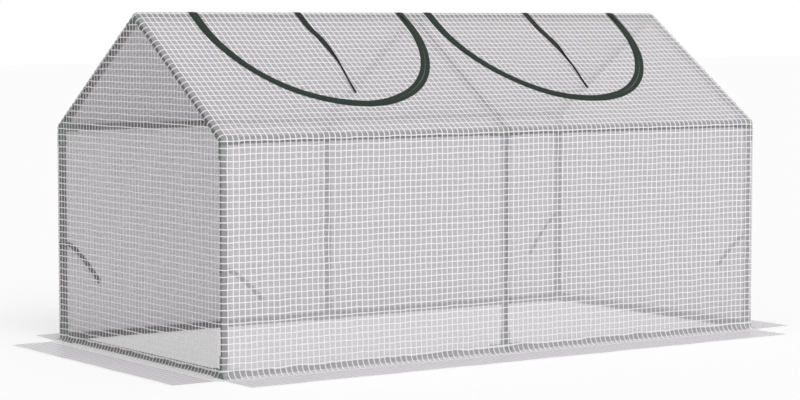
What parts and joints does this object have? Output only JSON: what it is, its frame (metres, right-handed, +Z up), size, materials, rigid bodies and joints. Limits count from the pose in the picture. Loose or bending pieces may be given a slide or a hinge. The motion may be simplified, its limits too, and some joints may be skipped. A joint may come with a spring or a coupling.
{
  "type": "mini greenhouse",
  "caption": "Low gabled garden greenhouse: coated tube frame in plastic connectors under a sewn grid-film cover with zipped roof windows and ground skirts.",
  "frame": {"origin": "on the ground, under the middle of the greenhouse, at the centre of its bounding box", "axes": "+X along the length towards the right end, +Y from the front wall with the roof windows to the back wall, +Z up"},
  "size_m": [2.079, 1.199, 0.9237],
  "materials": {
    "coated_steel": "satin dark green-black powder coat",
    "connector_plastic": "moulded green plastic",
    "reinforced_film": "translucent woven-grid polyethylene film, semi-gloss",
    "zip_tape": "dark green-grey woven zip tape with a coil",
    "slider_metal": "dark lacquered metal",
    "webbing": "dark woven tape"
  },
  "bodies": {
    "greenhouse": {"base_connector_back_left": "connector_plastic", "base_connector_back_middle": "connector_plastic", "base_connector_back_right": "connector_plastic", "base_connector_front_left": "connector_plastic", "base_connector_front_middle": "connector_plastic", "base_connector_front_right": "connector_plastic", "base_tube_back_left": "coated_steel", "base_tube_back_right": "coated_steel", "base_tube_front_left": "coated_steel", "base_tube_front_right": "coated_steel", "base_tube_left_end": "coated_steel", "base_tube_right_end": "coated_steel", "cover_back_sheet": "reinforced_film", "cover_front_roof": "reinforced_film", "cover_front_wall": "reinforced_film", "cover_left_end": "reinforced_film", "cover_right_end": "reinforced_film", "eave_connector_back_left": "connector_plastic", "eave_connector_back_middle": "connector_plastic", "eave_connector_back_right": "connector_plastic", "eave_connector_front_left": "connector_plastic", "eave_connector_front_middle": "connector_plastic", "eave_connector_front_right": "connector_plastic", "eave_tube_back_left": "coated_steel", "eave_tube_back_right": "coated_steel", "eave_tube_front_left": "coated_steel", "eave_tube_front_right": "coated_steel", "inner_tie_back_left": "webbing", "inner_tie_back_right": "webbing", "inner_tie_front_left": "webbing", "inner_tie_front_right": "webbing", "post_back_left": "coated_steel", "post_back_middle": "coated_steel", "post_back_right": "coated_steel", "post_front_left": "coated_steel", "post_front_middle": "coated_steel", "post_front_right": "coated_steel", "rafter_back_left": "coated_steel", "rafter_back_middle": "coated_steel", "rafter_back_right": "coated_steel", "rafter_front_left": "coated_steel", "rafter_front_middle": "coated_steel", "rafter_front_right": "coated_steel", "ridge_connector_left": "connector_plastic", "ridge_connector_middle": "connector_plastic", "ridge_connector_right": "connector_plastic", "ridge_tube_left": "coated_steel", "ridge_tube_right": "coated_steel", "zip_roof_half_left": "zip_tape", "zip_roof_half_right": "zip_tape"},
    "window_left": {"window_flap_left": "reinforced_film", "tie_tape_left": "webbing"},
    "window_right": {"window_flap_right": "reinforced_film", "tie_tape_right": "webbing"},
    "slider_left": {"zip_slider_left": "slider_metal"},
    "slider_right": {"zip_slider_right": "slider_metal"},
    "skirt_front_flap": {"skirt_front": "reinforced_film"},
    "skirt_back_flap": {"skirt_back": "reinforced_film"},
    "skirt_left_flap": {"skirt_left": "reinforced_film"},
    "skirt_right_flap": {"skirt_right": "reinforced_film"}
  },
  "joints": [
    {"name": "window_left_fold", "type": "hinge", "parent": "greenhouse", "child": "window_left", "pos_m": [-0.3835, 0, 0.927], "axis": [-1, 0, 0], "range_deg": [0, 235]},
    {"name": "slider_left_run", "type": "slide", "parent": "window_left", "child": "slider_left", "axis": [0, -0.8225, -0.5688], "range_m": [0, 0.03]},
    {"name": "window_right_fold", "type": "hinge", "parent": "greenhouse", "child": "window_right", "pos_m": [0.3835, 0, 0.927], "axis": [-1, 0, 0], "range_deg": [0, 235]},
    {"name": "slider_right_run", "type": "slide", "parent": "window_right", "child": "slider_right", "axis": [0, -0.8225, -0.5688], "range_m": [0, 0.03]},
    {"name": "skirt_front_fold", "type": "hinge", "parent": "greenhouse", "child": "skirt_front_flap", "pos_m": [0, -0.4788, 0.001], "axis": [-1, 0, 0], "range_deg": [0, 90]},
    {"name": "skirt_back_fold", "type": "hinge", "parent": "greenhouse", "child": "skirt_back_flap", "pos_m": [0, 0.4788, 0.001], "axis": [1, 0, 0], "range_deg": [0, 90]},
    {"name": "skirt_left_fold", "type": "hinge", "parent": "greenhouse", "child": "skirt_left_flap", "pos_m": [-0.9188, 0, 0.001], "axis": [0, 1, 0], "range_deg": [0, 90]},
    {"name": "skirt_right_fold", "type": "hinge", "parent": "greenhouse", "child": "skirt_right_flap", "pos_m": [0.9188, 0, 0.001], "axis": [0, -1, 0], "range_deg": [0, 90]}
  ]
}
